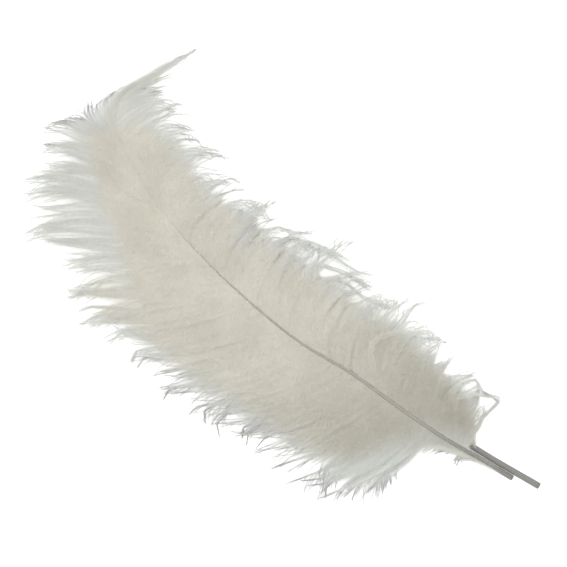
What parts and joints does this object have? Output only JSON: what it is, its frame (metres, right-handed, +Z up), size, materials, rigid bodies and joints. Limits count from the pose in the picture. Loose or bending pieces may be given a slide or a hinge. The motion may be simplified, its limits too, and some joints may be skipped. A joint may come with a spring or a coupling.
{
  "type": "ostrich feather",
  "caption": "White dressed ostrich plume lying down: feathers laid together, with cut quills, soft wispy vanes and a crown that curls over to a thin tail.",
  "frame": {"origin": "middle of the bottom of the box around the plume, on the surface it lies on", "axes": "+Y from the quills to the crown, +X to the side with the shorter barbs, +Z up from the surface"},
  "size_m": [0.1701, 0.3589, 0.0176],
  "materials": {
    "front_feather": "soft matt bleached white",
    "back_feather": "soft matt bleached white"
  },
  "bodies": {
    "root": {"front_feather": "front_feather", "back_feather": "back_feather"}
  },
  "joints": []
}
